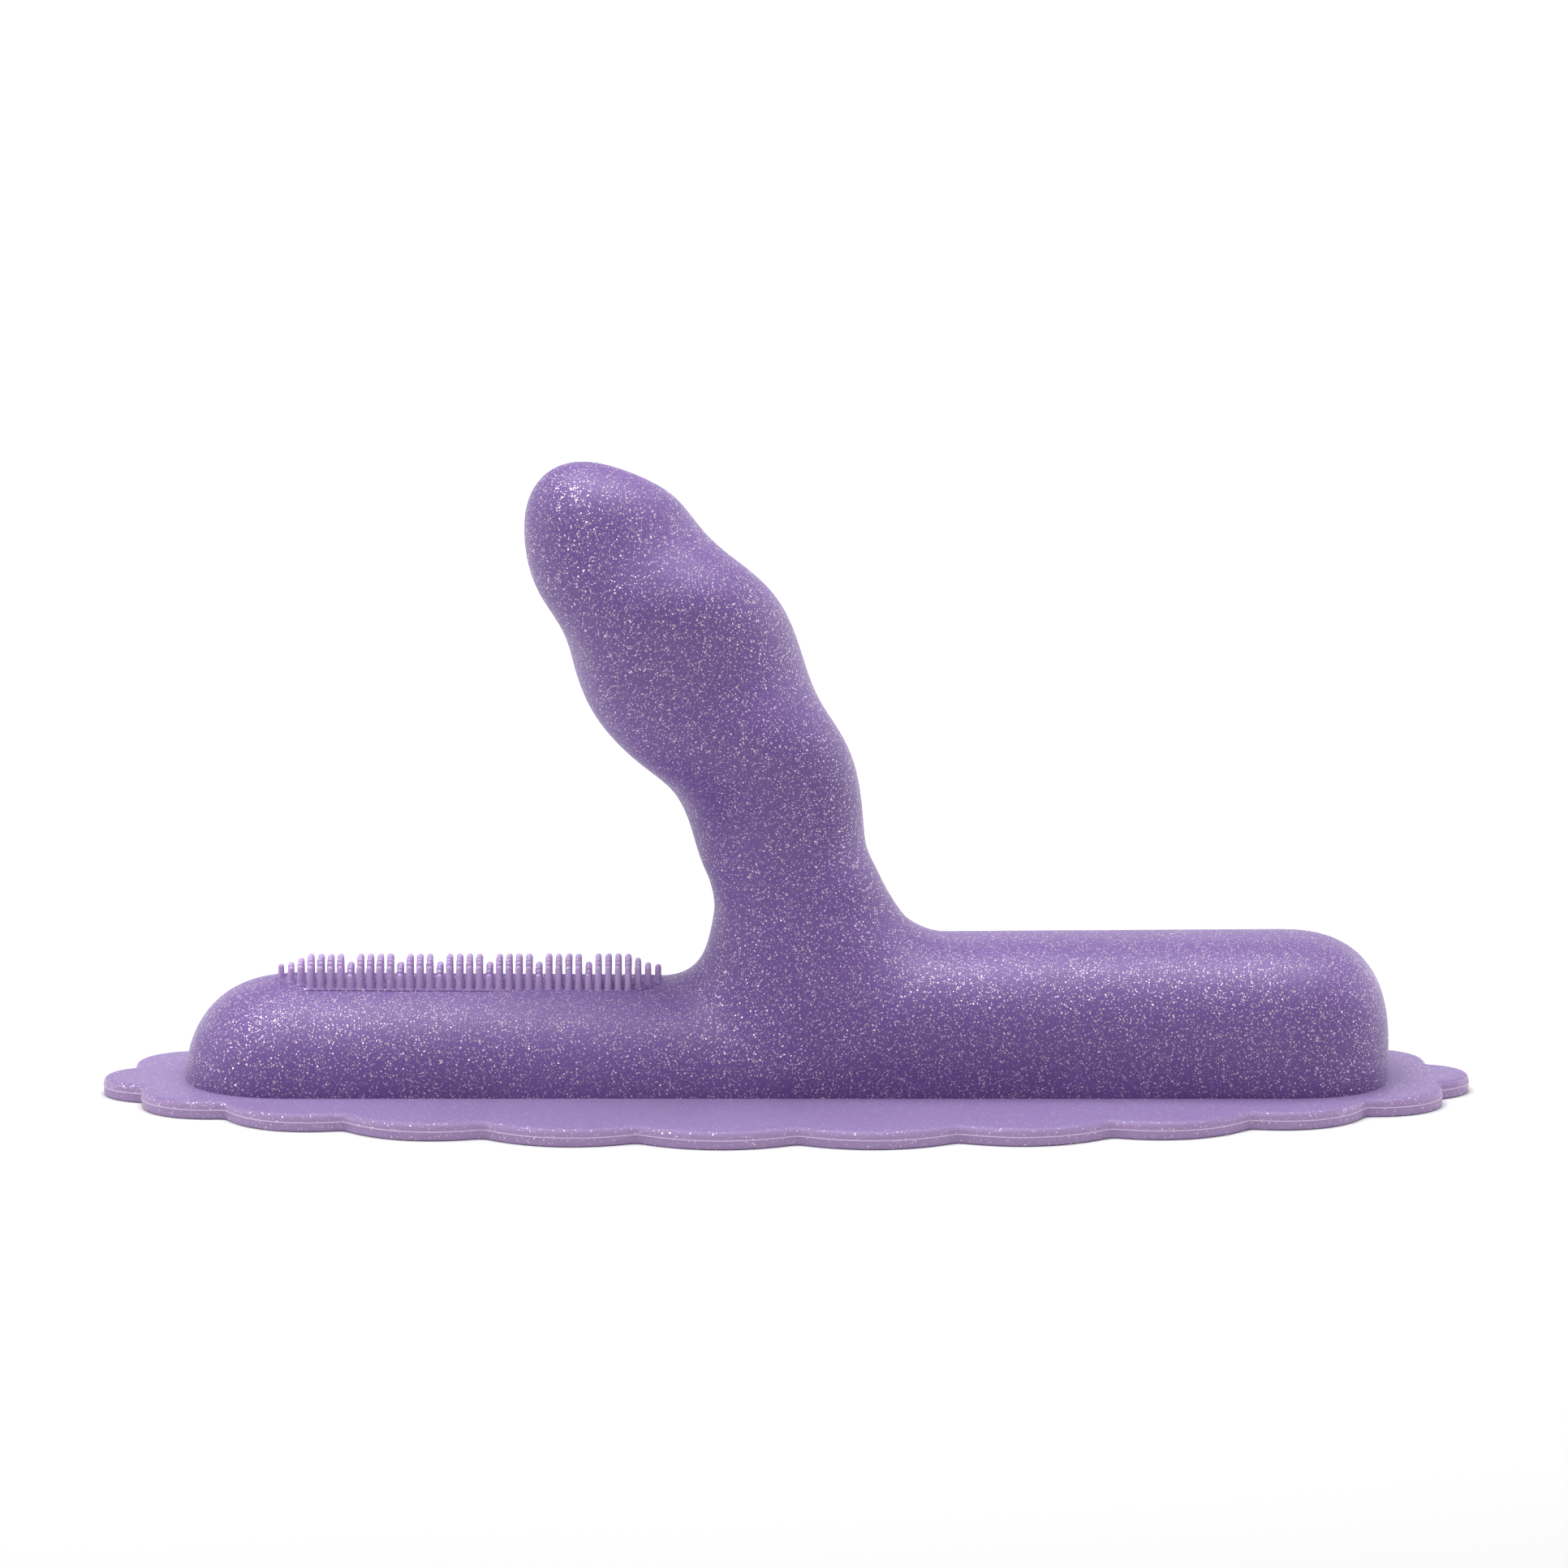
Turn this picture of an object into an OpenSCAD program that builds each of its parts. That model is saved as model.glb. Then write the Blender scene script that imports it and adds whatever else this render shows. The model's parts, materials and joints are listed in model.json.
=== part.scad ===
// Attachment for a ride-on saddle massager. A soft silicone mat with a scalloped flange and a
// hollow half-round ridge drops over the machine. Bristles stand on the front of the ridge and a
// leaning, twisted stem stands in its middle. The stem sways on its soft neck about one pivot,
// and a drive sleeve turns inside its rigid core.
// +Z is up, +X runs to the rear, and the origin is the middle of the flange's underside.

/* [Flange] */
// Length of the oval that the scallops touch
flange_l = 302; // [290:1:330]
// Width of the oval that the scallops touch
flange_w = 118; // [100:1:150]
// Thickness of the flange
flange_t = 4; // [3.5:0.5:6]
// Number of scallops
scallops = 22; // [16:2:28]
// Depth of the scallops' arcs
scallop_depth = 5.5; // [3:0.5:10]
// How much closer the scallops stand at the two ends, where 0 is even spacing
end_crowding = 0.36; // [0:0.02:1]
// Distance along the edge from the rear end to the middle of the first scallop
first_scallop = 2.4; // [0:0.2:10]

/* [Ridge] */
// Length over the round ends
ridge_l = 266; // [240:1:270]
// Width of the ridge
ridge_w = 50; // [46:1:56]
// Height of the crown in front of the stem
front_crown = 26; // [26:0.5:30]
// Height of the crown behind the stem
rear_crown = 36; // [34:0.5:38]
// Thickness of the silicone skin
skin_t = 5; // [4:0.5:6]

/* [Bristles] */
// Front end of the bristle bed
bed_front_x = -113; // [-116:0.5:-105]
// Back end of the bristle bed
bed_back_x = -27; // [-40:0.5:-26]
// Width of the bristle bed
bed_w = 18; // [16:0.5:24]
// How far the bed lies below the ridge's surface
bed_recess = 0.6; // [0.3:0.1:1.5]
// Distance between neighbouring bristles
bristle_pitch = 2.19; // [2:0.01:3]
// Diameter of a bristle
bristle_d = 1.4; // [1:0.1:1.6]
// Height of a bristle over the bed
bristle_h = 5.4; // [3:0.1:6]

/* [Stem] */
// Length from the rear crown's height to the tip
stem_l = 121; // [112:1:128]
// Lean towards the front, in degrees
lean = 32.5; // [30:0.5:35]
// Length of the rounded tip
dome_l = 28; // [24:1:32]
// Length of one full turn of the twist
twist_pitch = 79; // [70:1:90]
// Swell of the twist, from its mean radius
twist_swell = 1.7; // [0.5:0.1:2.5]

/* [Neck] */
// Radius of the soft ball that the stem sways on
ball_r = 18; // [17.5:0.1:18.5]
// Thickness of the collar around the ball
collar_t = 2.15; // [2:0.05:2.5]
// Clearance between the ball, the collar and the ridge
sway_gap = 0.35; // [0.3:0.05:0.5]

/* [Drive] */
// Outer radius of the rigid core tube
core_r = 9; // [8.5:0.1:9.5]
// Radius of the drive bore, for the machine's rod
bore_r = 5; // [4:0.1:5]
// Depth of the drive bore
bore_l = 50; // [40:1:60]
// Radial clearance of the drive sleeve in its bushes
run_gap = 0.05; // [0.02:0.01:0.1]

/* [Hidden] */
BRISTLE_ROWS = 7;
$fn = 64;
silicone = "#8468b4";
bristle_colour = "#a88cd0";
plastic = "#e8e4dc";
steel = "#b8bcc2";
eps = 0.01;
big = 400;

// Flange: a scallop is an arc, and the notch between two is rounded over the last part of it
arc_share = 0.93;
points_per_scallop = 10;
outline_steps = 360;
// Each step of its edge: start and height, as shares of its thickness, and inset
edge_steps = [[0, 0.7, 0], [0.7, 0.2, 0.4], [0.9, 0.1, 1.2]];

// Ridge: the two parts meet under the stem, ahead of its pivot
ridge_r = ridge_w / 2;
hollow_r = ridge_r - skin_t;
cap_x = ridge_l / 2 - ridge_r;
split_x = 2;

// Bristle bed: a pad let into the crown, and the bristles that stand on it
bed_t = 2;
bed_r = ridge_r - bed_recess;
bed_z = front_crown - ridge_r;
bristle_r = bristle_d / 2;
bristle_margin = 0.4;
columns = floor((bed_back_x - bed_front_x - bristle_d - 2 * bristle_margin) / bristle_pitch) + 1;
short_columns = [7, 12, 16, 21, 26, 31];
short_by = 1.8;

// Stem: its axis, its mean radius and its bow towards the rear, every 20 mm up the axis
stem_base = [11.5, 0, rear_crown];
stem_radii = [14, 17.5, 20, 22, 22.5, 18];
stem_bow = [0, 0.5, 4.5, 4.5, 4, 2.5];
station = 20;
twist_start = 47;
stem_sides = 32;
stem_rings = 18;
dome_rings = 8;
fade_in = 20;
fade_out = 30;

// Neck: the pivot lies on the stem's axis, pivot_s above its base
pivot_s = 8.3;
pivot = stem_base + pivot_s * [-sin(lean), 0, cos(lean)];
collar_r = ball_r + sway_gap + collar_t;
bowl_r = collar_r + sway_gap;
flare_r = bowl_r + 3.15;
flare_z = rear_crown + 4;
root_top = 6;
root_bottom = -12;
collar_top = 2.5;
collar_bottom = -13;

// Throat: the room that the drive's lower end needs under the crown as the stem sways
throat_r = 14.5;
throat_top = -12;
throat_l = 25;

// Drive, measured along the stem's axis from the pivot
core_bottom = -14;
core_top = 84;
core_in_r = core_r - 1.5;
cap_t = 3;
cap_plug = 4;
sleeve_r = core_in_r - 1;
bush_l = 8;
upper_bush_at = 58;
bush_flange_t = 2;
washer_gap = 0.3;
washer_t = 1.5;
sleeve_flange_r = core_r + 0.5;
sleeve_flange_t = 4;
sleeve_mouth = core_bottom - bush_flange_t - washer_gap - washer_t - sleeve_flange_t;
ring_at = upper_bush_at + bush_l + 0.3;
ring_t = 1.2;
ring_groove = 0.5;
ring_r = sleeve_r + 0.7;
sleeve_top = ring_at + ring_t + 1.5;

// ---- shared functions and modules ----

// Smooth curve through a list of values, one every station millimetres
function curve(v, s) =
    let (
        n = len(v) - 1,
        q = max(0, min(n, s / station)),
        i = min(n - 1, floor(q)),
        t = q - i,
        a = v[max(0, i - 1)], b = v[i], c = v[i + 1], d = v[min(n, i + 2)]
    )
    0.5 * (2 * b + (c - a) * t + (2 * a - 5 * b + 4 * c - d) * t * t
        + (3 * b - a - 3 * c + d) * t * t * t);

function smooth(t) = let (q = max(0, min(1, t))) q * q * (3 - 2 * q);

// Moves its children from the stem's axis to their place
module on_stem(t = 0) {
    translate(pivot) rotate([0, -lean, 0]) translate([0, 0, t]) children();
}

// A tube on the stem's axis, from height t up
module tube(t, h, r, hole_r) {
    on_stem(t) difference() {
        cylinder(h = h, r = r);
        translate([0, 0, -eps]) cylinder(h = h + 2 * eps, r = hole_r);
    }
}

// ---- flange ----

function oval(a, inset = 0) =
    let (
        p = [flange_l / 2 * cos(a), flange_w / 2 * sin(a)],
        m = [cos(a) / (flange_l / 2), sin(a) / (flange_w / 2)]
    )
    p - inset * m / norm(m);

// Length of the oval's edge from its rear end to each of outline_steps angles
edge_len = [for (i = 0, l = 0; i <= outline_steps;
    l = l + norm(oval((i + 1) * 360 / outline_steps) - oval(i * 360 / outline_steps)), i = i + 1)
    [l, i * 360 / outline_steps]];
len_at = [for (e = edge_len) [e[1], e[0]]];

// How deep the edge lies at u, which is 0 in a scallop's middle and 1 or -1 in a notch
function scallop(u) =
    let (q = abs(u), over = max(0, q - arc_share))
    q < arc_share ? q * q
        : arc_share * arc_share + 2 * arc_share * over - arc_share / (1 - arc_share) * over * over;

module flange_outline(inset) {
    total = edge_len[outline_steps][0];
    count = scallops * points_per_scallop;
    polygon([for (k = [0 : count - 1])
        let (
            u = 2 * (k % points_per_scallop) / points_per_scallop - 1,
            share = (k - points_per_scallop / 2) / count,
            even = share * total,
            by_angle = lookup((share + 1) * 360 % 360, len_at) - (share < 0 ? total : 0),
            along = (1 - end_crowding) * even + end_crowding * by_angle + first_scallop,
            angle = lookup((along + total) % total, edge_len)
        )
        oval(angle, inset + scallop_depth * scallop(u))]);
}

module stadium(x0, x1, r) {
    translate([x0, -r]) square([x1 - x0, 2 * r]);
    translate([x0, 0]) circle(r);
    translate([x1, 0]) circle(r);
}

module scalloped_flange() {
    color(silicone) difference() {
        union() for (e = edge_steps) translate([0, 0, e[0] * flange_t])
            linear_extrude(e[1] * flange_t) flange_outline(e[2]);
        translate([0, 0, -1]) linear_extrude(flange_t + 2) stadium(-cap_x, cap_x, hollow_r);
    }
}

// ---- ridge ----

// The ridge's cross-section, and half of it for the round end
module ridge_section(r, crown) {
    translate([-r, 0]) square([2 * r, crown - ridge_r]);
    translate([0, crown - ridge_r]) intersection() {
        circle(r);
        translate([-r, 0]) square([2 * r, r]);
    }
}

// One end of the ridge, as a solid of radius r: x runs from 0 at the cap's middle to run
module ridge_form(r, crown, run) {
    rotate([90, 0, 90]) linear_extrude(run) ridge_section(r, crown);
    rotate([0, 0, 90]) rotate_extrude(angle = 180) intersection() {
        ridge_section(r, crown);
        square([r, crown]);
    }
}

module front_ridge() {
    run = cap_x + split_x;
    color(silicone) difference() {
        translate([-cap_x, 0, 0]) difference() {
            ridge_form(ridge_r, front_crown, run);
            ridge_form(hollow_r, front_crown, run + 1);
        }
        translate([-big / 2, -big / 2, -1]) cube([big, big, flange_t + 1]);
        translate(pivot) sphere(bowl_r);
        bed_pocket();
    }
}

module rear_ridge() {
    run = cap_x - split_x;
    color(silicone) difference() {
        union() {
            translate([cap_x, 0, 0]) mirror([1, 0, 0]) ridge_form(ridge_r, rear_crown, run);
            neck_flare();
        }
        translate([cap_x, 0, 0]) mirror([1, 0, 0]) ridge_form(hollow_r, rear_crown, run + 1);
        translate([-big / 2, -big / 2, -1]) cube([big, big, flange_t + 1]);
        translate(pivot) sphere(bowl_r);
        on_stem(throat_top - throat_l) cylinder(h = throat_l, r = throat_r);
    }
}

// The ridge rises a little around the back of the neck
module neck_flare() {
    intersection() {
        translate(pivot) sphere(flare_r);
        translate([split_x, -big / 2, flange_t]) cube([big, big, flare_z - flange_t]);
    }
}

// ---- bristles ----

module bed_plan() {
    stadium(bed_front_x + bed_w / 2, bed_back_x - bed_w / 2, bed_w / 2);
}

module bed_cylinder(r) {
    translate([-big / 2, 0, bed_z]) rotate([0, 90, 0]) cylinder(h = big, r = r);
}

module bed_pocket() {
    difference() {
        translate([0, 0, bed_z]) linear_extrude(ridge_r + 2) bed_plan();
        bed_cylinder(bed_r - bed_t);
    }
}

module bristle_bed() {
    color(silicone) intersection() {
        bed_pocket();
        bed_cylinder(bed_r);
    }
}

// Place of the bristle in column i and row k. A row has one bristle less at each end than the
// row beside it that is nearer to the middle one.
function bristle_x(i) = (bed_front_x + bed_back_x) / 2 + (i - (columns - 1) / 2) * bristle_pitch;
function bristle_y(k) = (k - (BRISTLE_ROWS + 1) / 2) * bristle_pitch;
function row_start(k) = abs(k - (BRISTLE_ROWS + 1) / 2);

// Some columns are shorter, and so are the last three at each end
function bristle_short(i) =
    let (end = min(i, columns - 1 - i))
    end < 2 ? short_by : end < 3 ? short_by / 2 : len(search(i, short_columns)) > 0 ? short_by : 0;

// A bristle with a rounded tip, from z = 0 up
module bristle(h) {
    r = bristle_r;
    rotate_extrude($fn = 24) polygon([[0, 0], [r, 0], [r, h - r], [0.87 * r, h - 0.5 * r],
        [0.5 * r, h - 0.13 * r], [0, h]]);
}

module bristle_row(k) {
    y = bristle_y(k);
    foot = sqrt(bed_r * bed_r - y * y) + bed_z;
    sunk = 1;
    color(bristle_colour) difference() {
        union() for (i = [row_start(k) : columns - 1 - row_start(k)])
            translate([bristle_x(i), y, foot - sunk]) bristle(bristle_h + sunk - bristle_short(i));
        bed_cylinder(bed_r);
    }
}

module bristle_row_1() { bristle_row(1); }
module bristle_row_2() { bristle_row(2); }
module bristle_row_3() { bristle_row(3); }
module bristle_row_4() { bristle_row(4); }
module bristle_row_5() { bristle_row(5); }
module bristle_row_6() { bristle_row(6); }
module bristle_row_7() { bristle_row(7); }

// ---- neck and stem ----

module neck_collar() {
    color(silicone) on_stem() difference() {
        intersection() {
            sphere(collar_r);
            translate([0, 0, collar_bottom]) cylinder(h = collar_top - collar_bottom, r = big);
        }
        sphere(ball_r + sway_gap);
    }
}

module stem_root() {
    color(silicone) on_stem() difference() {
        intersection() {
            sphere(ball_r);
            translate([0, 0, root_bottom]) cylinder(h = root_top - root_bottom, r = big);
        }
        translate([0, 0, root_bottom - 1]) cylinder(h = root_top - root_bottom + 2, r = core_r);
    }
}

// Radius of the stem at height s over its base, towards angle a from the rear
function stem_radius(s, a) =
    let (
        swell = twist_swell * smooth(s / fade_in) * smooth((stem_l - s) / fade_out),
        q = max(0, min(1, (s - stem_l + dome_l) / dome_l))
    )
    (curve(stem_radii, s) - swell * cos(2 * a + 720 * (s - twist_start) / twist_pitch))
        * sqrt(1 - q * q);

// One ring of the stem's surface, with z measured from the pivot
function stem_ring(s) = [for (j = [0 : stem_sides - 1])
    let (a = j * 360 / stem_sides, r = stem_radius(s, a))
    [curve(stem_bow, s) + r * cos(a), r * sin(a), s - pivot_s]];

module stem_skin() {
    s0 = pivot_s + root_top;
    s1 = stem_l - dome_l;
    heights = concat([for (i = [0 : stem_rings]) s0 + (s1 - s0) * i / stem_rings],
        [for (i = [1 : dome_rings]) s1 + dome_l * sin(i * 86 / dome_rings)]);
    rings = [for (s = heights) each stem_ring(s)];
    n = stem_sides;
    top = len(heights) * n;
    walls = [for (i = [0 : len(heights) - 2], j = [0 : n - 1]) let (k = (j + 1) % n)
        each [[i * n + j, (i + 1) * n + j, i * n + k], [i * n + k, (i + 1) * n + j, (i + 1) * n + k]]];
    tip = [for (j = [0 : n - 1]) [top - n + j, top, top - n + (j + 1) % n]];
    color(silicone) on_stem() difference() {
        polyhedron(concat(rings, [[curve(stem_bow, stem_l), 0, stem_l - pivot_s]]),
            concat(walls, tip, [[for (j = [0 : n - 1]) j]]));
        translate([0, 0, root_top - 1]) cylinder(h = core_top + cap_t - root_top + 1, r = core_r);
    }
}

// ---- core and drive ----

module stem_core() {
    color(plastic) tube(core_bottom, core_top - core_bottom, core_r, core_in_r);
}

module core_tip_cap() {
    color(plastic) on_stem(core_top) {
        cylinder(h = cap_t, r = core_r);
        translate([0, 0, -cap_plug]) cylinder(h = cap_plug, r = core_in_r);
    }
}

module upper_bush() {
    color(plastic) tube(upper_bush_at, bush_l, core_in_r, sleeve_r + run_gap);
}

module lower_bush() {
    color(plastic) on_stem(core_bottom) difference() {
        union() {
            cylinder(h = bush_l, r = core_in_r);
            translate([0, 0, -bush_flange_t]) cylinder(h = bush_flange_t, r = core_r);
        }
        translate([0, 0, -bush_flange_t - 1]) cylinder(h = bush_l + 4, r = sleeve_r + run_gap);
    }
}

module drive_sleeve() {
    color(plastic) on_stem() difference() {
        union() {
            translate([0, 0, sleeve_mouth]) cylinder(h = sleeve_top - sleeve_mouth, r = sleeve_r);
            translate([0, 0, sleeve_mouth]) cylinder(h = sleeve_flange_t, r = sleeve_flange_r);
        }
        translate([0, 0, sleeve_mouth - 1]) cylinder(h = bore_l + 1, r = bore_r);
        translate([0, 0, ring_at]) difference() {
            cylinder(h = ring_t, r = ring_r);
            translate([0, 0, -1]) cylinder(h = ring_t + 2, r = sleeve_r - ring_groove);
        }
    }
}

module thrust_washer() {
    color(steel) tube(sleeve_mouth + sleeve_flange_t, washer_t, core_r, sleeve_r);
}

module retaining_ring() {
    gap_w = 3;
    color(steel) on_stem(ring_at) difference() {
        cylinder(h = ring_t, r = ring_r);
        translate([0, 0, -1]) cylinder(h = ring_t + 2, r = sleeve_r - ring_groove);
        translate([0, -gap_w / 2, -1]) cube([ring_r + 1, gap_w, ring_t + 2]);
    }
}

scalloped_flange();
front_ridge();
rear_ridge();
bristle_bed();
bristle_row_1();
bristle_row_2();
bristle_row_3();
bristle_row_4();
bristle_row_5();
bristle_row_6();
bristle_row_7();
neck_collar();
stem_root();
stem_skin();
stem_core();
core_tip_cap();
upper_bush();
lower_bush();
drive_sleeve();
thrust_washer();
retaining_ring();
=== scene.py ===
"""Looks of the saddle massager attachment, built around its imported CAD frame.

The silicone is one soft moulding, so its skin is made as one solid and cut once, round the neck,
where the stem's two sway joints meet. Lengths in this script are in millimetres in the part's own
frame, and to_mesh() turns them into Blender's metres.
"""

import json
import math

import bmesh
import bpy
import numpy as np
import openvdb
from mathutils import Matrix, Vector


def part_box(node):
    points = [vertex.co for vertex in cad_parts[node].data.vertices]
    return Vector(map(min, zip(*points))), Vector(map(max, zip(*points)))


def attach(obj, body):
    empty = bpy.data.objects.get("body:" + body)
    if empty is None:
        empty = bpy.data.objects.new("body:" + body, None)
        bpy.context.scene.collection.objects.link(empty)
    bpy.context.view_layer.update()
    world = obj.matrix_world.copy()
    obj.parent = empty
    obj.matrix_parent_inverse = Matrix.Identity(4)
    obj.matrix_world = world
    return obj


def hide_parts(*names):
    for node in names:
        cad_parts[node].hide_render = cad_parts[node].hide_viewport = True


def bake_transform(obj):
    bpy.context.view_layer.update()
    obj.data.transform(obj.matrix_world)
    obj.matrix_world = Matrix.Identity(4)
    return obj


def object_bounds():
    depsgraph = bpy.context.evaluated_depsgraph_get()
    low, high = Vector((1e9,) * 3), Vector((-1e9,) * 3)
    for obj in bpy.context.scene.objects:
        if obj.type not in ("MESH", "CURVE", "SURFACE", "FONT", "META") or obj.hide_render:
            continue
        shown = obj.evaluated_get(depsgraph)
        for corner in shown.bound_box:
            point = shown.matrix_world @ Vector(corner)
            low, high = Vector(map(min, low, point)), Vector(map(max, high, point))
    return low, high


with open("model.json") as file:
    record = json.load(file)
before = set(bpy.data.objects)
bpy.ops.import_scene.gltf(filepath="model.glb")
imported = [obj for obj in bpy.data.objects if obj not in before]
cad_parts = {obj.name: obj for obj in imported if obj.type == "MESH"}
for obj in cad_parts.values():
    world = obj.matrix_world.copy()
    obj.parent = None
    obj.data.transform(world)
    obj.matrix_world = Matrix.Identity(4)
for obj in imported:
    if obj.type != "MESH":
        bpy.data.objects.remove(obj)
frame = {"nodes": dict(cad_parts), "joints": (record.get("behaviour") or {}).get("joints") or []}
cad_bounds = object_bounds()

MM = 0.001


def joint(name):
    return next(j for j in frame["joints"] if j["name"] == name)


def node_box(name):
    """A CAD node's lowest and highest corner, in millimetres."""
    return tuple(np.array(corner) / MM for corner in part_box(name))


# ---- driving dimensions, taken from the frame or named here ----

PIVOT = np.array(joint("stem_fore_sway")["pos_m"]) / MM
AXIS = np.array(joint("drive_spin")["axis"])
AXIS = AXIS / np.linalg.norm(AXIS)
SIDE = np.array([AXIS[2], 0.0, -AXIS[0]])  # across the stem, towards the rear

FLANGE_A = 151.0  # half the oval that the scallops touch
FLANGE_B = 59.0
FLANGE_T = node_box("scalloped_flange")[1][2]
SCALLOPS = 22
SCALLOP_DEPTH = 5.5
ARC_SHARE = 0.93
END_CROWDING = 0.36  # 0 would be even spacing
LINE_Z = 2.1  # height of the mould's flash up the edge
LINE_HALF = 0.07
LINE_OUT = 0.14
FIRST_SCALLOP = 2.4  # from the rear end along the edge to the first scallop's middle

RIDGE_R = 25.0
SKIN = 5.0
HOLLOW_R = RIDGE_R - SKIN
CAP_X = node_box("rear_ridge")[1][0] - RIDGE_R
FRONT_CROWN = node_box("front_ridge")[1][2]
REAR_CROWN = 36.0
FRONT_DROP, REAR_DROP = 0.5, 0.8  # how far the skin's crowns lie under the CAD's, by the photo
END_RISE = 0.5  # and how much they rise again towards the two ends

bed_low, bed_high = node_box("bristle_bed")
BED_RECESS = 0.6
BED_OVERLAP = 0.45  # the skin reaches this far under the bed's edge
BED_POCKET = 1.5
PITCH = 2.19
BRISTLE_R = 0.7

STEM_FOOT = 8.3  # the stem's foot lies this far down its axis from the pivot
STEM_LENGTH = 121.3
DOME = 24.3
STATION = 20.0  # the two lists below run up the axis, from one station under the foot
STEM_RADII = [8, 10, 17.1, 19.7, 21.8, 22.5, 18, 16.5]
STEM_BOW = [-3.3, 1.8, 1.3, 5.2, 5.1, 4.7, 3.9, 2.3]
TWIST_PITCH = 80.5
TWIST_START = 48.3
TWIST_SWELL = 1.4
NECK_R = 19.2
NECK_SHIFT = np.array([-4.2, 0, -5.7])
NECK_FILLET = 5.0
RIDGE_FILLET = 14.5
CORE_R = 9.0
BORE_TOP = 87.2  # up the axis from the pivot, just over the core's cap
MOST_PLAY = 5.4  # the bore widens round the pivot, so that the core can sway in it

SEAM_Z = 46.0  # the skin is cut here, where it follows the neck body on both sides
VOXEL = 0.9
FLAKE_SCALES = (1900.0, 2900.0)
BACKDROP_GLOW = 0.9


# ---- small helpers ----


def smooth(t):
    t = np.clip(t, 0, 1)
    return t * t * (3 - 2 * t)


def curve(values, s):
    """Catmull-Rom curve through values, one every STATION millimetres from -STATION."""
    v = np.array(values, float)
    last = len(v) - 1
    q = np.clip(np.asarray(s) / STATION + 1, 0, last)
    i = np.minimum(q.astype(int), last - 1)
    t = q - i
    a, b, c, d = v[np.maximum(i - 1, 0)], v[i], v[i + 1], v[np.minimum(i + 2, last)]
    return 0.5 * (
        2 * b
        + (c - a) * t
        + (2 * a - 5 * b + 4 * c - d) * t**2
        + (3 * b - a - 3 * c + d) * t**3
    )


def to_mesh(name, points, faces, normals=None):
    """A Blender object from points in millimetres, smooth shaded, with its own normals if given."""
    mesh = bpy.data.meshes.new(name)
    mesh.from_pydata((np.asarray(points) * MM).tolist(), [], [list(map(int, f)) for f in faces])
    mesh.polygons.foreach_set("use_smooth", [True] * len(mesh.polygons))
    mesh.update()
    if normals is not None:
        mesh.normals_split_custom_set_from_vertices(np.asarray(normals).tolist())
    piece = bpy.data.objects.new(name, mesh)
    bpy.context.scene.collection.objects.link(piece)
    return piece


def loft(rings, closed=True):
    """Quads between rings that hold the same number of points each."""
    points = np.concatenate(rings)
    n = len(rings[0])
    faces = []
    for i in range(len(rings) - 1):
        for j in range(n):
            k = (j + 1) % n
            faces.append((i * n + j, i * n + k, (i + 1) * n + k, (i + 1) * n + j))
    if closed:
        a = (len(rings) - 1) * n
        for j in range(n):
            k = (j + 1) % n
            faces.append((a + j, a + k, k, j))
    return points, faces


# ---- fields: negative inside, in millimetres ----


def crown_centre(x):
    """Height of the middle of the half-round top: low in front, high behind."""
    front = FRONT_CROWN - RIDGE_R + END_RISE * np.clip((-27 - x) / 85, 0, 1) - FRONT_DROP
    rear = REAR_CROWN - RIDGE_R + END_RISE * np.clip((x - 35) / 80, 0, 1) - REAR_DROP
    w = smooth((x + 20) / 50)
    return front * (1 - w) + rear * w


def squareness(x):
    """Exponent of the ridge's rounding, where 2 is a true circle."""
    return 2.35 + 0.25 * smooth((x + 20) / 50)


def ridge_field(x, y, z, r):
    n = squareness(x)
    over = np.maximum(np.abs(x) - CAP_X, 0)
    up = np.maximum(z - crown_centre(x), 0)
    return (over**n + np.abs(y) ** n + up**n) ** (1 / n) - r


def ridge_top(x, y):
    """Height of the ridge's surface over a point of its plan."""
    n = squareness(x)
    over = np.maximum(np.abs(x) - CAP_X, 0)
    left = np.maximum(RIDGE_R**n - over**n - np.abs(y) ** n, 0)
    return crown_centre(x) + left ** (1 / n)


def along_stem(x, y, z):
    """Height up the stem's axis from the pivot, and the two distances across it."""
    rx, rz = x - PIVOT[0], z - PIVOT[2]
    return rx * AXIS[0] + rz * AXIS[2], rx * SIDE[0] + rz * SIDE[2], y


def stem_field(x, y, z):
    t, across, y = along_stem(x, y, z)
    s = t + STEM_FOOT
    across = across - curve(STEM_BOW, s)
    rho = np.hypot(across, y)
    angle = np.arctan2(y, across)
    swell = TWIST_SWELL * smooth(s / 20) * smooth((STEM_LENGTH - s) / 30)
    turn = 2 * angle + 4 * np.pi * (s - TWIST_START) / TWIST_PITCH
    r = curve(STEM_RADII, s) - swell * np.cos(turn)
    q = np.maximum((s - STEM_LENGTH + DOME) / DOME, 0)
    return np.maximum(r * (np.sqrt((rho / r) ** 2 + q**2) - 1), -s - 16)


def neck_field(x, y, z):
    c = PIVOT + NECK_SHIFT
    return np.sqrt((x - c[0]) ** 2 + (y - c[1]) ** 2 + (z - c[2]) ** 2) - NECK_R


def bed_plan(x, y, inset):
    """Distance outside the bristle bed's plan, shrunk by inset."""
    r = (bed_high[1] - bed_low[1]) / 2
    x0, x1 = bed_low[0] + r, bed_high[0] - r
    over = np.maximum(np.maximum(x0 - x, x - x1), 0)
    return np.hypot(over, y) - r + inset


def round_union(a, b, r):
    """Joins two solids with a fillet of radius r."""
    u, v = np.maximum(r - a, 0), np.maximum(r - b, 0)
    return np.maximum(r, np.minimum(a, b)) - np.hypot(u, v)


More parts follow.
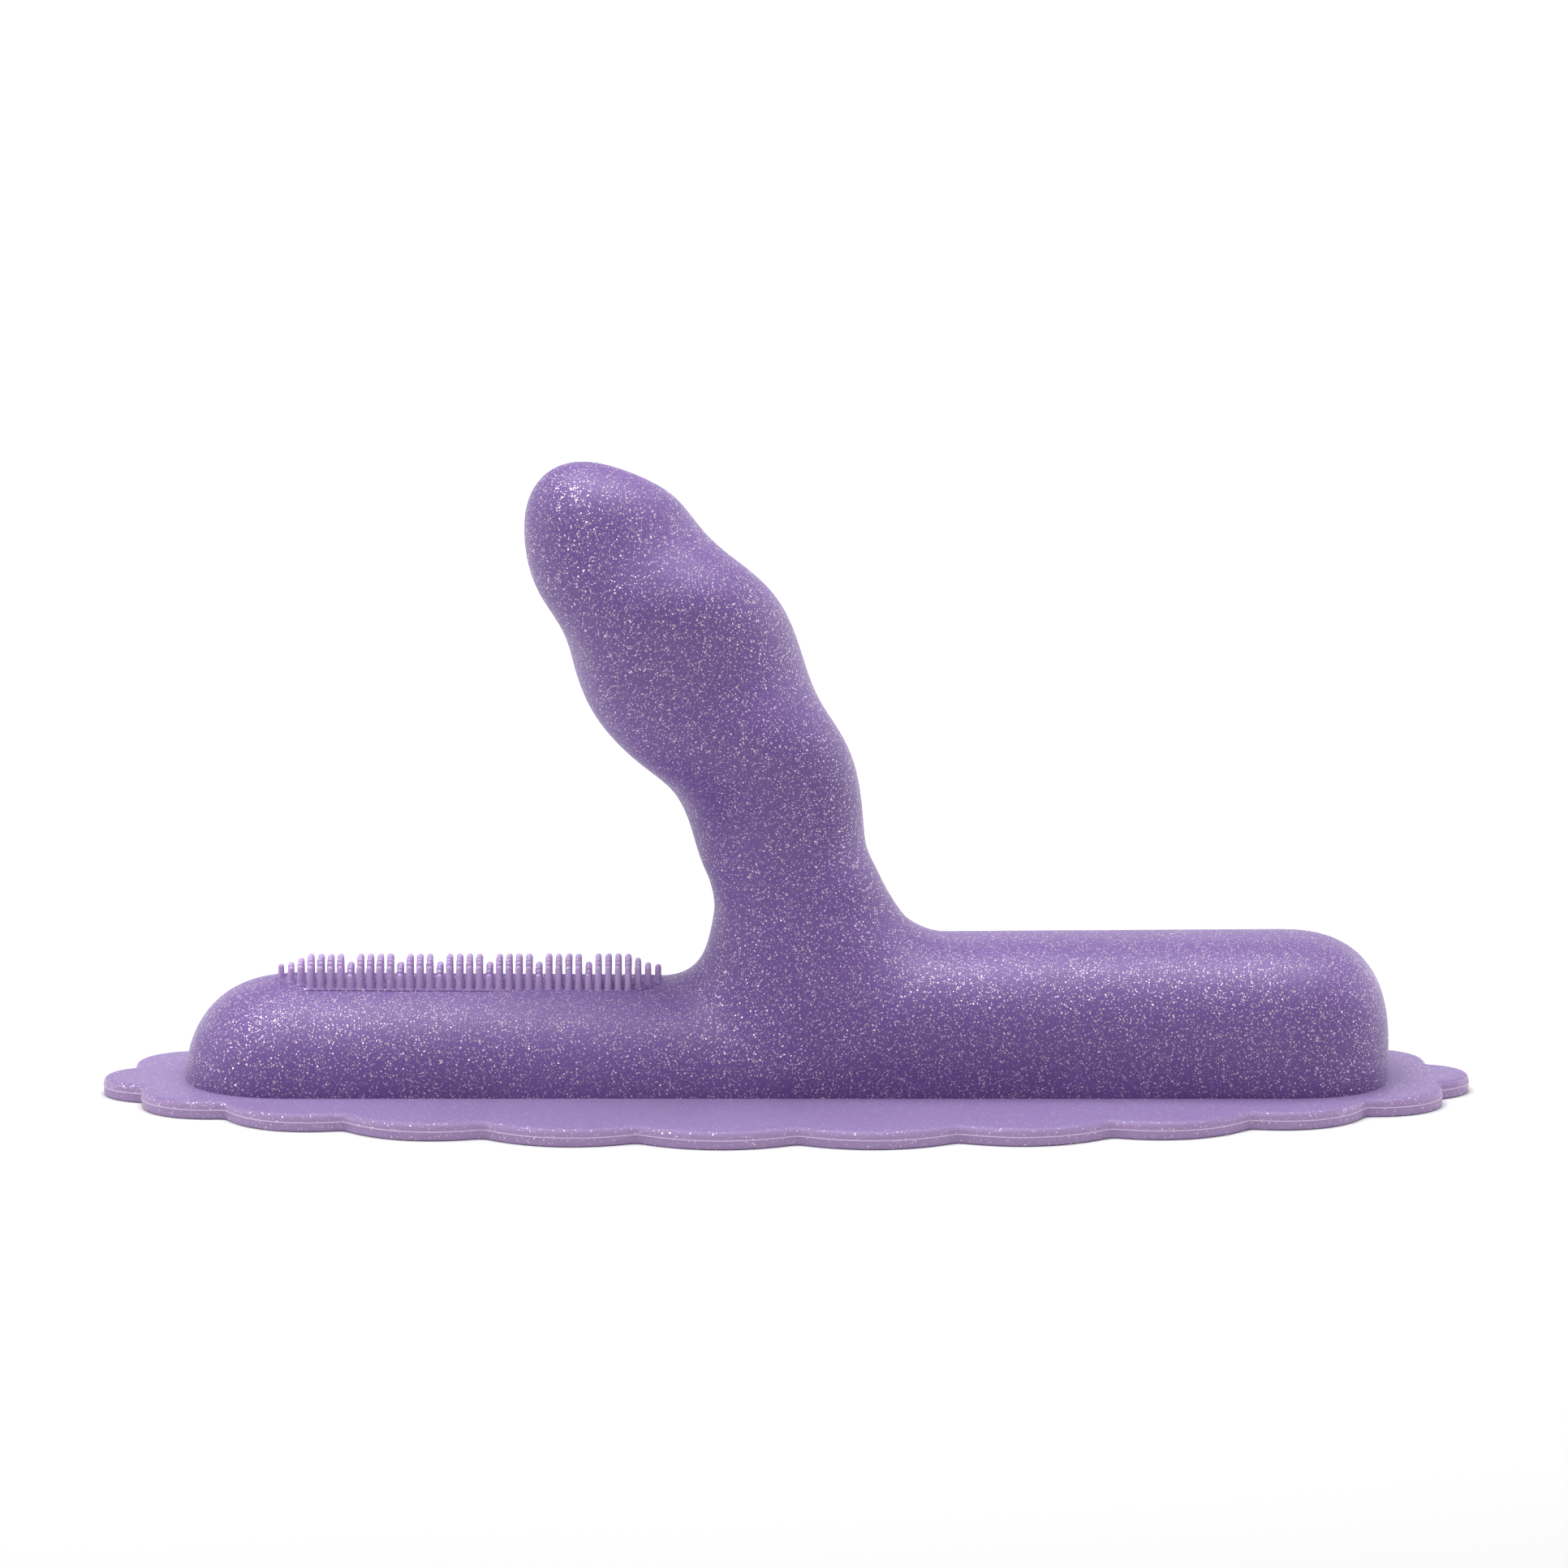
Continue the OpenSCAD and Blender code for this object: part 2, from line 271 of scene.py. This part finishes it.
def skin_field(x, y, z):
    """The whole silicone skin over the flange: ridge, neck and stem, hollow underneath."""
    ridge = ridge_field(x, y, z, RIDGE_R)
    stem = round_union(stem_field(x, y, z), neck_field(x, y, z), NECK_FILLET)
    outer = round_union(ridge, stem, RIDGE_FILLET)
    under_bed = [bed_plan(x, y, BED_OVERLAP), -(ridge + BED_POCKET), ridge - 4]
    outer = np.maximum(outer, -np.maximum.reduce(under_bed))
    hollow = ridge_field(x, y, z, HOLLOW_R)
    t, across, y = along_stem(x, y, z)
    play = np.maximum(0.25 * (1 - t), np.minimum(0.2 * t + 0.2, 0.2 * (24 - t)))
    bore_r = CORE_R + 0.05 + np.clip(play, 0, MOST_PLAY)
    bore = np.maximum(np.hypot(across, y) - bore_r, t - BORE_TOP)
    bottom = FLANGE_T - 1.0 - z
    return np.maximum.reduce([outer, -hollow, -bore, bottom])


def gradient(field, p, step=0.04):
    g = np.zeros_like(p)
    for k in range(3):
        d = np.zeros(3)
        d[k] = step
        g[:, k] = (field(*(p + d).T) - field(*(p - d).T)) / (2 * step)
    return g


# ---- the silicone skin ----


def mesh_field(field, low, high, voxel):
    """Points and outward quads of a field's surface, pulled onto it."""
    low = np.floor(np.asarray(low) / voxel) * voxel
    size = np.ceil((np.asarray(high) - low) / voxel).astype(int) + 1
    axes = [low[k] + voxel * np.arange(size[k]) for k in range(3)]
    values = field(*np.meshgrid(*axes, indexing="ij"))
    grid = openvdb.FloatGrid(float(values.max()))
    grid.copyFromArray(values.astype(np.float32))
    points, quads = grid.convertToQuads()
    points = points.astype(float) * voxel + low
    for _ in range(3):
        g = gradient(field, points)
        length2 = np.maximum((g**2).sum(1), 0.2)
        shift = -field(*points.T)[:, None] * g / length2[:, None]
        points = points + np.clip(shift, -0.3 * voxel, 0.3 * voxel)
    return points, quads


def cut_skin(points, quads, name, keep_above):
    """The skin's part over or under the seam, closed where it is cut."""
    piece = to_mesh(name, points, quads)
    bm = bmesh.new()
    bm.from_mesh(piece.data)
    geometry = bm.verts[:] + bm.edges[:] + bm.faces[:]
    cut = bmesh.ops.bisect_plane(
        bm,
        geom=geometry,
        dist=1e-7,
        plane_co=(0, 0, SEAM_Z * MM),
        plane_no=(0, 0, 1),
        clear_inner=keep_above,
        clear_outer=not keep_above,
    )
    rim = [e for e in cut["geom_cut"] if isinstance(e, bmesh.types.BMEdge)]
    bmesh.ops.triangle_fill(bm, edges=rim, use_beauty=True, use_dissolve=False)
    bmesh.ops.recalc_face_normals(bm, faces=bm.faces[:])
    bm.to_mesh(piece.data)
    bm.free()
    mesh = piece.data
    mesh.polygons.foreach_set("use_smooth", [True] * len(mesh.polygons))
    place = np.array([v.co for v in mesh.vertices]) / MM
    normal = gradient(skin_field, place)
    normal /= np.maximum(np.linalg.norm(normal, axis=1), 1e-9)[:, None]
    loops = np.zeros((len(mesh.loops), 3))
    for face in mesh.polygons:
        flat = abs(face.normal.z) > 0.999 and abs(face.center.z / MM - SEAM_Z) < 0.01
        for k in face.loop_indices:
            loops[k] = face.normal if flat else normal[mesh.loops[k].vertex_index]
    mesh.normals_split_custom_set(loops.tolist())
    return piece


def make_skin():
    low = (-CAP_X - RIDGE_R - 3, -RIDGE_R - 3, FLANGE_T - 4)
    high = (CAP_X + RIDGE_R + 3, RIDGE_R + 3, cad_bounds[1].z / MM + 4)
    points, quads = mesh_field(skin_field, low, high, VOXEL)
    lower = cut_skin(points, quads, "ridge_and_neck_skin", False)
    upper = cut_skin(points, quads, "stem_skin_moulding", True)
    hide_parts("front_ridge", "rear_ridge", "neck_collar")
    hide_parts("stem_root", "stem_skin")
    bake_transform(lower)
    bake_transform(upper)
    return [lower, upper]


# ---- flange ----


def scallop(u):
    """Depth of the edge: 0 in a scallop's middle, most at u = 1 or -1, where the notch is round."""
    q = np.abs(u)
    over = np.maximum(q - ARC_SHARE, 0)
    notch = ARC_SHARE**2 + 2 * ARC_SHARE * over - ARC_SHARE / (1 - ARC_SHARE) * over**2
    return np.where(q < ARC_SHARE, q * q, notch)


def flange_edge(per_scallop):
    """The scalloped outline, anticlockwise, and its outward normals."""
    a = np.linspace(0, 2 * np.pi, 2881)
    oval = np.stack([FLANGE_A * np.cos(a), FLANGE_B * np.sin(a)], 1)
    length = np.r_[0, np.cumsum(np.linalg.norm(np.diff(oval, axis=0), axis=1))]
    count = SCALLOPS * per_scallop
    k = np.arange(count)
    u = 2 * (k % per_scallop) / per_scallop - 1
    share = k / count - 0.5 / SCALLOPS
    by_angle = np.interp(share % 1 * 2 * np.pi, a, length) - np.where(share < 0, length[-1], 0)
    along = (1 - END_CROWDING) * share * length[-1] + END_CROWDING * by_angle + FIRST_SCALLOP
    angle = np.interp(along % length[-1], length, a)
    outward = np.stack([np.cos(angle) / FLANGE_A, np.sin(angle) / FLANGE_B], 1)
    outward /= np.linalg.norm(outward, axis=1)[:, None]
    oval = np.stack([FLANGE_A * np.cos(angle), FLANGE_B * np.sin(angle)], 1)
    edge = oval - outward * (SCALLOP_DEPTH * scallop(u))[:, None]
    ahead = np.roll(edge, -1, 0) - np.roll(edge, 1, 0)
    normal = np.stack([ahead[:, 1], -ahead[:, 0]], 1)
    return edge, normal / np.linalg.norm(normal, axis=1)[:, None]


def edge_profile():
    """The flange's rim from the underside up: (inset, height), with the mould's parting line."""
    bottom_r, top_r = 0.5, 1.3
    profile = []
    for a in np.radians(np.linspace(0, 75, 5)):
        profile.append((bottom_r * (1 - math.sin(a)), bottom_r * (1 - math.cos(a))))
    profile += [(0, LINE_Z - 0.18), (-LINE_OUT, LINE_Z - LINE_HALF)]
    profile += [(-LINE_OUT, LINE_Z + LINE_HALF), (0, LINE_Z + 0.2), (0, LINE_Z + 0.4)]
    for a in np.radians(np.linspace(0, 90, 10)):
        profile.append((top_r * (1 - math.cos(a)), FLANGE_T - top_r * (1 - math.sin(a))))
    return profile


def make_flange():
    edge, normal = flange_edge(24)
    profile = edge_profile()

    def ring(inset, z):
        return np.c_[edge - normal * inset, np.full(len(edge), z)]

    rim = [ring(inset, z) for inset, z in profile]
    nearest = np.clip(edge[:, 0], -CAP_X, CAP_X)
    towards = edge - np.c_[nearest, np.zeros(len(edge))]
    towards /= np.linalg.norm(towards, axis=1)[:, None]
    hole = np.c_[nearest, np.zeros(len(edge))] + towards * (HOLLOW_R - 0.1)
    shares = np.linspace(0, 1, 13)[1:]
    top = [rim[-1] * (1 - w) + np.c_[hole, np.full(len(edge), FLANGE_T)] * w for w in shares]
    under = [rim[0] * (1 - w) + np.c_[hole, np.zeros(len(edge))] * w for w in shares]
    points, faces = loft(rim + top + under[::-1])
    piece = to_mesh("flange_moulding", points, faces)
    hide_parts("scalloped_flange")
    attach(piece, "mat")
    return piece


# ---- bristle bed and bristles ----


def bed_ring(inset, count):
    """A ring of the bed's plan, inset from its edge, starting at its rear end."""
    r = (bed_high[1] - bed_low[1]) / 2
    half = (bed_high[0] - bed_low[0]) / 2 - r
    middle = (bed_high[0] + bed_low[0]) / 2
    q = r - inset
    per = 4 * half + 2 * math.pi * r
    ring = []
    for k in range(count):
        d = (k + 0.5) / count * per
        quarter = math.pi * r / 2
        if d < quarter:
            a = d / r
            ring.append((half + q * math.cos(a), q * math.sin(a)))
        elif d < quarter + 2 * half:
            ring.append((half - (d - quarter), q))
        elif d < 3 * quarter + 2 * half:
            a = math.pi / 2 + (d - quarter - 2 * half) / r
            ring.append((-half + q * math.cos(a), q * math.sin(a)))
        elif d < 3 * quarter + 4 * half:
            ring.append((-half + (d - 3 * quarter - 2 * half), -q))
        else:
            a = 1.5 * math.pi + (d - 3 * quarter - 4 * half) / r
            ring.append((half + q * math.cos(a), q * math.sin(a)))
    return np.array(ring) + [middle, 0]


def make_bed():
    count = 320
    lip = [(0.0, -0.9), (0.02, -0.2), (0.12, 0.05), (0.3, 0.12), (0.5, 0.1), (0.7, -0.05)]
    lip += [(0.85, -0.35), (1.0, -0.52), (1.25, -BED_RECESS)]
    inward = [(w, -BED_RECESS) for w in np.linspace(2, 9.8, 12)]
    rings = []
    for inset, height in [(9.8, -1.4), (4.0, -1.4), (0.0, -1.4)] + lip + inward:
        plan = bed_ring(inset, count)
        rings.append(np.c_[plan, ridge_top(plan[:, 0], plan[:, 1]) + height])
    points, faces = loft(rings, closed=False)
    last = (len(rings) - 1) * count
    for j in range(count // 2):
        a, b, c, d = j, j + 1, count - 2 - j, count - 1 - j
        if b <= c:
            faces.append((a, d, c, b) if b != c else (a, d, c))
            top = (last + a, last + b, last + c, last + d)
            faces.append(top if b != c else top[:3])
    piece = to_mesh("bristle_bed_moulding", points, faces)
    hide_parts("bristle_bed")
    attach(piece, "mat")
    return piece


def rod_starts(row):
    """Where the CAD row's bristles stand, and how tall each is: one per separate solid."""
    mesh = frame["nodes"][row].data
    bm = bmesh.new()
    bm.from_mesh(mesh)
    seen, found = set(), []
    for v in bm.verts:
        if v.index in seen:
            continue
        stack, island = [v], []
        seen.add(v.index)
        while stack:
            w = stack.pop()
            island.append(w.co)
            for e in w.link_edges:
                o = e.other_vert(w)
                if o.index not in seen:
                    seen.add(o.index)
                    stack.append(o)
        co = np.array(island) / MM
        found.append((co.min(0), co.max(0)))
    bm.free()
    return found


def bristle_positions(row):
    """Middles in plan and tip heights of a row's bristles, from the CAD row's own solids."""
    spots = {}
    for low, high in rod_starts(row):
        key = round((low[0] + high[0]) / 2 / (PITCH / 2))
        x0, z1 = spots.get(key, ((low[0] + high[0]) / 2, -1e9))
        spots[key] = (x0, max(z1, high[2]))
    y = (node_box(row)[0][1] + node_box(row)[1][1]) / 2
    return [(x, y, z) for x, z in spots.values()]


def make_bristles(row, rng):
    sides, r = 12, BRISTLE_R
    turn = np.linspace(0, 2 * np.pi, sides, endpoint=False)
    points, faces = [], []
    for x, y, tip_z in bristle_positions(row):
        foot = float(ridge_top(np.array(x), np.array(y))) - BED_RECESS
        h = tip_z - foot + rng.uniform(-0.05, 0.05)
        lean = rng.normal(0, 0.012, 2)
        shape = [(r * 1.5, -0.5), (r * 1.25, 0.08), (r * 1.06, 0.3), (r * 1.02, 0.8)]
        shape += [(r, h * 0.45), (r * 0.97, h - r)]
        shape += [(r * 0.97 * math.cos(a), h - r + r * math.sin(a)) for a in (0.45, 0.85, 1.25)]
        start = len(points)
        for radius, z in shape:
            for a in turn:
                sway = lean * max(z, 0)
                points.append((x + radius * math.cos(a) + sway[0],
                               y + radius * math.sin(a) + sway[1], foot + z))
        for i in range(len(shape) - 1):
            for j in range(sides):
                k = (j + 1) % sides
                a, b = start + i * sides, start + (i + 1) * sides
                faces.append((a + j, a + k, b + k, b + j))
        top = start + (len(shape) - 1) * sides
        points.append((x + lean[0] * h, y + lean[1] * h, foot + h))
        for j in range(sides):
            faces.append((top + j, top + (j + 1) % sides, len(points) - 1))
        faces.append(tuple(start + j for j in reversed(range(sides))))
    piece = to_mesh(row.replace("bristle_row", "bristles"), points, faces)
    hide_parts(row)
    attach(piece, "mat")
    return piece


# ---- materials ----


class Nodes:
    """Short calls for building a material's node tree."""

    def __init__(self, name):
        self.material = bpy.data.materials.new(name)
        self.material.use_nodes = True
        self.tree = self.material.node_tree
        self.shader = self.tree.nodes["Principled BSDF"]
        self.place = self.add("ShaderNodeTexCoord").outputs["Object"]

    def add(self, kind, **settings):
        node = self.tree.nodes.new(kind)
        for key, value in settings.items():
            setattr(node, key, value)
        return node

    def link(self, source, target):
        if isinstance(source, (int, float, tuple)):
            target.default_value = source
        else:
            self.tree.links.new(source, target)

    def math(self, operation, a, b=0.0, clamp=False):
        node = self.add("ShaderNodeMath", operation=operation, use_clamp=clamp)
        self.link(a, node.inputs[0])
        self.link(b, node.inputs[1])
        return node.outputs[0]

    def ramp(self, value, low, high, to_low=0.0, to_high=1.0):
        node = self.add("ShaderNodeMapRange", interpolation_type="SMOOTHSTEP")
        for socket, v in zip(node.inputs[:5], (value, low, high, to_low, to_high)):
            self.link(v, socket)
        return node.outputs[0]

    def mix(self, factor, a, b):
        node = self.add("ShaderNodeMix", data_type="RGBA")
        self.link(factor, node.inputs["Factor"])
        self.link(a, node.inputs[6])
        self.link(b, node.inputs[7])
        return node.outputs[2]

    def noise(self, scale, detail=2.0):
        node = self.add("ShaderNodeTexNoise")
        self.link(self.place, node.inputs["Vector"])
        node.inputs["Scale"].default_value = scale
        node.inputs["Detail"].default_value = detail
        return node.outputs["Fac"]

    def cells(self, scale):
        turned = self.add("ShaderNodeMapping")
        turned.inputs["Rotation"].default_value = (0.5, 0.35, 0.8)  # off the part's flat faces
        self.link(self.place, turned.inputs["Vector"])
        node = self.add("ShaderNodeTexVoronoi")
        self.link(turned.outputs[0], node.inputs["Vector"])
        node.inputs["Scale"].default_value = scale
        split = self.add("ShaderNodeSeparateColor")
        self.link(node.outputs["Color"], split.inputs[0])
        return node.outputs["Distance"], node.outputs["Color"], split.outputs

    def vector(self, operation, a, b=None):
        node = self.add("ShaderNodeVectorMath", operation=operation)
        self.link(a, node.inputs[0])
        if b is not None:
            self.link(b, node.inputs["Scale"] if operation == "SCALE" else node.inputs[1])
        return node.outputs[0]

    def bump(self, height, strength, distance, normal=None):
        node = self.add("ShaderNodeBump")
        if normal is not None:
            self.link(normal, node.inputs["Normal"])
        node.inputs["Strength"].default_value = strength
        node.inputs["Distance"].default_value = distance
        self.link(height, node.inputs["Height"])
        self.link(node.outputs[0], self.shader.inputs["Normal"])

    def set(self, **values):
        for key, value in values.items():
            self.link(value, self.shader.inputs[key.replace("_", " ")])


def glitter_silicone(name, base, deep, flecks, rough, painted_edge_light=None):
    """Satin silicone with fine flakes set in it, each tilted its own way so that some of them
    catch the light. flecks is the share of the cells that hold one. wall is painted light on the
    flange's upright edge faces: they are painted paler for the light that the thin edge lets
    through and that the floor throws back onto it, and the mould's flash runs along the edge."""
    m = Nodes(name)
    tint = m.mix(m.ramp(m.noise(28.0), 0.35, 0.65), base, deep)
    # painted light: the flange's upright edge faces are painted paler, standing in for light let
    # through and bounced off the floor
    if painted_edge_light:
        facing = m.add("ShaderNodeSeparateXYZ")
        m.link(m.add("ShaderNodeNewGeometry").outputs["Normal"], facing.inputs[0])
        edge_light_share = m.ramp(m.math("ABSOLUTE", facing.outputs[2]), 0.25, 0.95, 1.0, 0.0)
        height = m.add("ShaderNodeSeparateXYZ")
        m.link(m.place, height.inputs[0])
        off_line = m.math("ABSOLUTE", m.math("SUBTRACT", height.outputs[2], LINE_Z * MM))
        flash = m.ramp(off_line, LINE_HALF * MM, 2 * LINE_HALF * MM, 0.75, 0.0)
        tint = m.mix(flash, m.mix(edge_light_share, tint, painted_edge_light), (0.85, 0.72, 0.92, 1))
    mask, tilt = None, None
    for scale in FLAKE_SCALES:
        distance, colour, chance = m.cells(scale)
        size = m.ramp(chance[0], 1 - flecks, 1.0, 0.14, 0.46)
        here = m.math("MULTIPLY", m.math("SUBTRACT", size, distance), 11.0, clamp=True)
        here = m.math("MULTIPLY", here, m.math("GREATER_THAN", chance[0], 1 - flecks))
        here = m.math("MULTIPLY", here, m.ramp(chance[1], 0.0, 1.0, 0.2, 0.95))
        lean = m.vector("SCALE", m.vector("SUBTRACT", colour, (0.5, 0.5, 0.5)), here)
        mask = here if mask is None else m.math("MAXIMUM", mask, here)
        tilt = lean if tilt is None else m.vector("ADD", tilt, lean)
    fleck = m.mix(chance[2], (1.0, 0.72, 0.80, 1), (1.0, 0.95, 1.0, 1))
    m.set(Base_Color=m.mix(mask, tint, fleck))
    m.set(Roughness=m.ramp(mask, 0.0, 1.0, rough, 0.37))
    m.set(Metallic=m.math("MULTIPLY", mask, 0.6))
    surface = m.add("ShaderNodeNewGeometry").outputs["Normal"]
    tilted = m.vector("NORMALIZE", m.vector("ADD", surface, m.vector("SCALE", tilt, 0.9)))
    m.bump(m.noise(2600.0), 0.2, 0.0001, tilted)
    m.shader.inputs["Sheen Weight"].default_value = 0.25
    m.shader.inputs["Sheen Roughness"].default_value = 0.4
    m.shader.inputs["Sheen Tint"].default_value = (0.95, 0.85, 1.0, 1)
    m.shader.inputs["Specular IOR Level"].default_value = 0.5
    return m.material


def moulded_plastic(name, light, dark, rough, grain):
    m = Nodes(name)
    cloud = m.noise(60.0, 4.0)
    m.set(Base_Color=m.mix(m.ramp(cloud, 0.35, 0.7), light, dark))
    m.set(Roughness=m.ramp(m.noise(400.0), 0.3, 0.7, rough - 0.06, rough + 0.06))
    m.bump(m.noise(grain, 3.0), 0.2, 0.0001)
    return m.material


def brushed_steel(name):
    m = Nodes(name)
    stretch = m.add("ShaderNodeMapping")
    stretch.inputs["Scale"].default_value = (900.0, 900.0, 40.0)
    m.link(m.place, stretch.inputs["Vector"])
    m.place = stretch.outputs[0]
    lines = m.noise(3.0, 4.0)
    m.set(Base_Color=m.mix(lines, (0.42, 0.43, 0.45, 1), (0.66, 0.67, 0.69, 1)))
    m.set(Roughness=m.ramp(lines, 0.2, 0.8, 0.25, 0.42))
    m.bump(lines, 0.15, 0.00005)
    m.shader.inputs["Metallic"].default_value = 1.0
    return m.material


def dress(piece, material):
    piece.data.materials.clear()
    piece.data.materials.append(material)


# ---- camera, light and floor ----


def make_camera():
    """A long lens in front, 12.5 degrees over the flange, square to the object's side."""
    distance, height, pitch, lens = 3000.0, 665.1, 11.23, 318.8
    data = bpy.data.cameras.new("camera")
    data.lens = lens
    data.sensor_width = 36.0
    data.clip_start, data.clip_end = 0.05, 50.0
    camera = bpy.data.objects.new("camera", data)
    bpy.context.scene.collection.objects.link(camera)
    camera.location = (-0.57 * MM, -distance * MM, height * MM)
    camera.rotation_euler = (math.radians(90 - pitch), 0, 0)
    bpy.context.scene.camera = camera


def area_light(name, place, size, power):
    """A softbox that faces the middle of the object."""
    data = bpy.data.lights.new(name, "AREA")
    data.shape = "RECTANGLE"
    data.size, data.size_y = size
    data.energy = power
    light = bpy.data.objects.new(name, data)
    bpy.context.scene.collection.objects.link(light)
    light.location = place
    towards = np.array([0, 0, 0.05]) - np.array(place)
    light.rotation_euler = Vector(towards).to_track_quat("-Z", "Y").to_euler()


def make_studio():
    """A white sweep that glows behind the object, with soft light from above, in front and both
    sides."""
    width, front, run, bend, steps = 8.0, -3.2, 3.0, 1.5, 16
    line = [(front, 0.0), (run, 0.0)]
    for k in range(1, steps + 1):
        a = math.pi / 2 * k / steps
        line.append((run + bend * math.sin(a), bend * (1 - math.cos(a))))
    points = [(x / MM, y / MM, z / MM) for y, z in line for x in (-width / 2, width / 2)]
    faces = [(2 * i, 2 * i + 1, 2 * i + 3, 2 * i + 2) for i in range(len(line) - 1)]
    floor = to_mesh("studio_floor", points, faces)
    m = Nodes("white_paper")
    m.set(Base_Color=m.mix(m.noise(3.0), (0.76, 0.76, 0.76, 1), (0.78, 0.78, 0.78, 1)))
    m.shader.inputs["Roughness"].default_value = 0.9
    m.shader.inputs["Specular IOR Level"].default_value = 0.1
    m.shader.inputs["Emission Color"].default_value = (1, 1, 1, 1)
    split = m.add("ShaderNodeSeparateXYZ")
    m.link(m.place, split.inputs[0])
    m.set(Emission_Strength=m.ramp(split.outputs[1], 0.05, 0.7, 0.0, BACKDROP_GLOW))
    floor.data.materials.append(m.material)
    world = bpy.data.worlds.new("studio")
    bpy.context.scene.world = world
    world.use_nodes = True
    world.node_tree.nodes["Background"].inputs["Color"].default_value = (1, 1, 1, 1)
    world.node_tree.nodes["Background"].inputs["Strength"].default_value = 0.3
    area_light("top_softbox", (0, 0.1, 1.2), (1.3, 0.8), 16)
    area_light("front_softbox", (-0.5, -0.6, 1.4), (0.6, 0.4), 4.5)
    area_light("left_softbox", (-1.1, 0.1, 0.5), (0.7, 0.9), 3)
    area_light("right_softbox", (1.1, 0.45, 0.45), (0.7, 0.9), 3)
    bpy.context.scene.view_settings.view_transform = "Standard"


# ---- build ----

make_camera()
make_studio()

glitter = glitter_silicone(
    "glitter_silicone",
    base=(0.178, 0.096, 0.335, 1),
    deep=(0.158, 0.085, 0.305, 1),
    flecks=0.6,
    rough=0.5,
)
flange_silicone = glitter_silicone(
    "flange_silicone",
    base=(0.26, 0.175, 0.41, 1),
    deep=(0.245, 0.16, 0.39, 1),
    flecks=0.25,
    rough=0.5,
    # painted light: the paler colour painted on the flange's upright edge faces
    painted_edge_light=(0.40, 0.27, 0.52, 1),
)
bristle_silicone = glitter_silicone(
    "bristle_silicone",
    base=(0.62, 0.45, 0.78, 1),
    deep=(0.56, 0.40, 0.72, 1),
    flecks=0.15,
    rough=0.45,
)
core_plastic = moulded_plastic(
    "natural_nylon", (0.80, 0.77, 0.70, 1), (0.72, 0.69, 0.62, 1), rough=0.45, grain=900.0
)
bush_plastic = moulded_plastic(
    "acetal", (0.86, 0.85, 0.81, 1), (0.80, 0.79, 0.74, 1), rough=0.35, grain=1500.0
)
drive_plastic = moulded_plastic(
    "black_nylon", (0.025, 0.025, 0.028, 1), (0.045, 0.045, 0.05, 1), rough=0.5, grain=1200.0
)
steel = brushed_steel("spring_steel")

for piece in make_skin():
    dress(piece, glitter)
dress(make_flange(), flange_silicone)
dress(make_bed(), glitter)
rng = np.random.default_rng(7)
for row in sorted(n for n in frame["nodes"] if n.startswith("bristle_row")):
    dress(make_bristles(row, rng), bristle_silicone)

for names, material in (
    (("stem_core", "core_tip_cap"), core_plastic),
    (("upper_bush", "lower_bush"), bush_plastic),
    (("drive_sleeve",), drive_plastic),
    (("thrust_washer", "retaining_ring"), steel),
):
    for name in names:
        dress(frame["nodes"][name], material)
